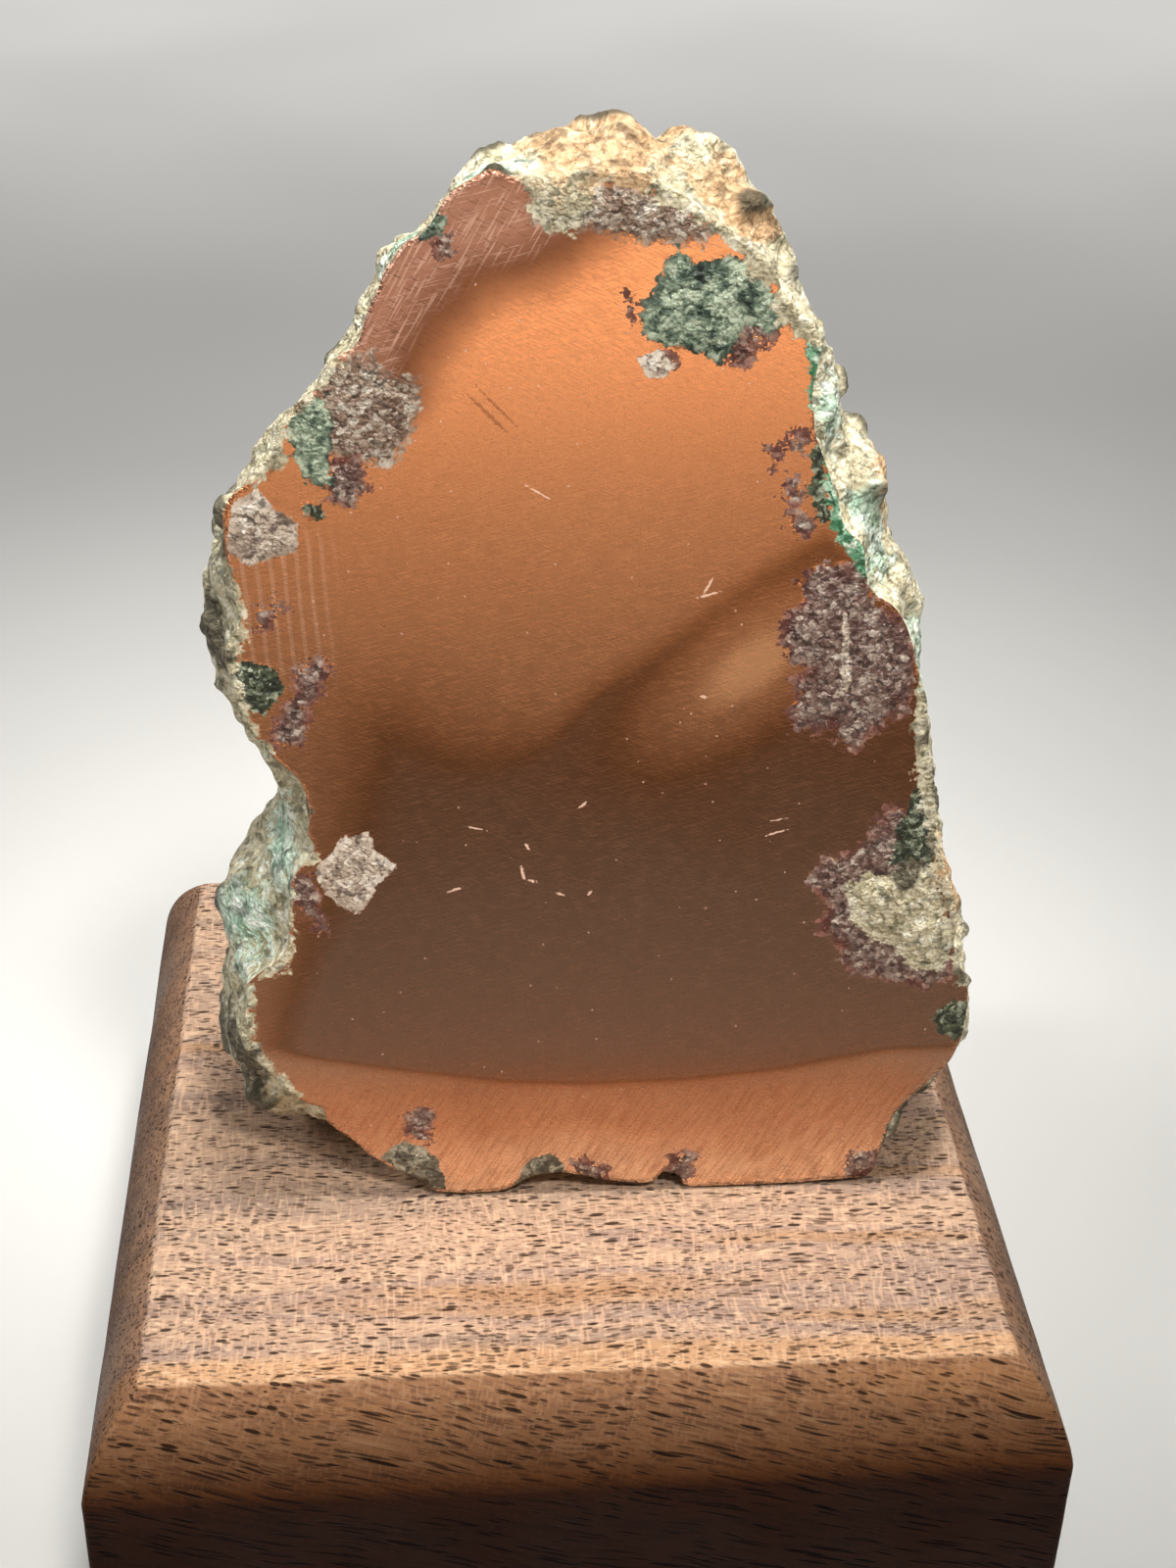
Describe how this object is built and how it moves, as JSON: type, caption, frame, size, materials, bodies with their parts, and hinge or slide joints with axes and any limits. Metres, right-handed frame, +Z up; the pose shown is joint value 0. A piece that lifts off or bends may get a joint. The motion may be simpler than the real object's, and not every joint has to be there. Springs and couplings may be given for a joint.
{
  "type": "native copper nugget",
  "caption": "Native copper nugget with one sawn, polished face and a mineral crust behind, standing on a square walnut block.",
  "frame": {"origin": "centre of the walnut block's underside", "axes": "+Z up, the nugget's polished face looks towards -Y, +X to the viewer's right"},
  "size_m": [0.076, 0.076, 0.1101],
  "materials": {
    "native_copper": "native copper, sawn and finely sanded on the face, under a rough malachite and calcite crust",
    "oiled_walnut": "oiled walnut, end grain on top"
  },
  "bodies": {
    "root": {"copper_nugget": "native_copper", "walnut_stand": "oiled_walnut"}
  },
  "joints": []
}
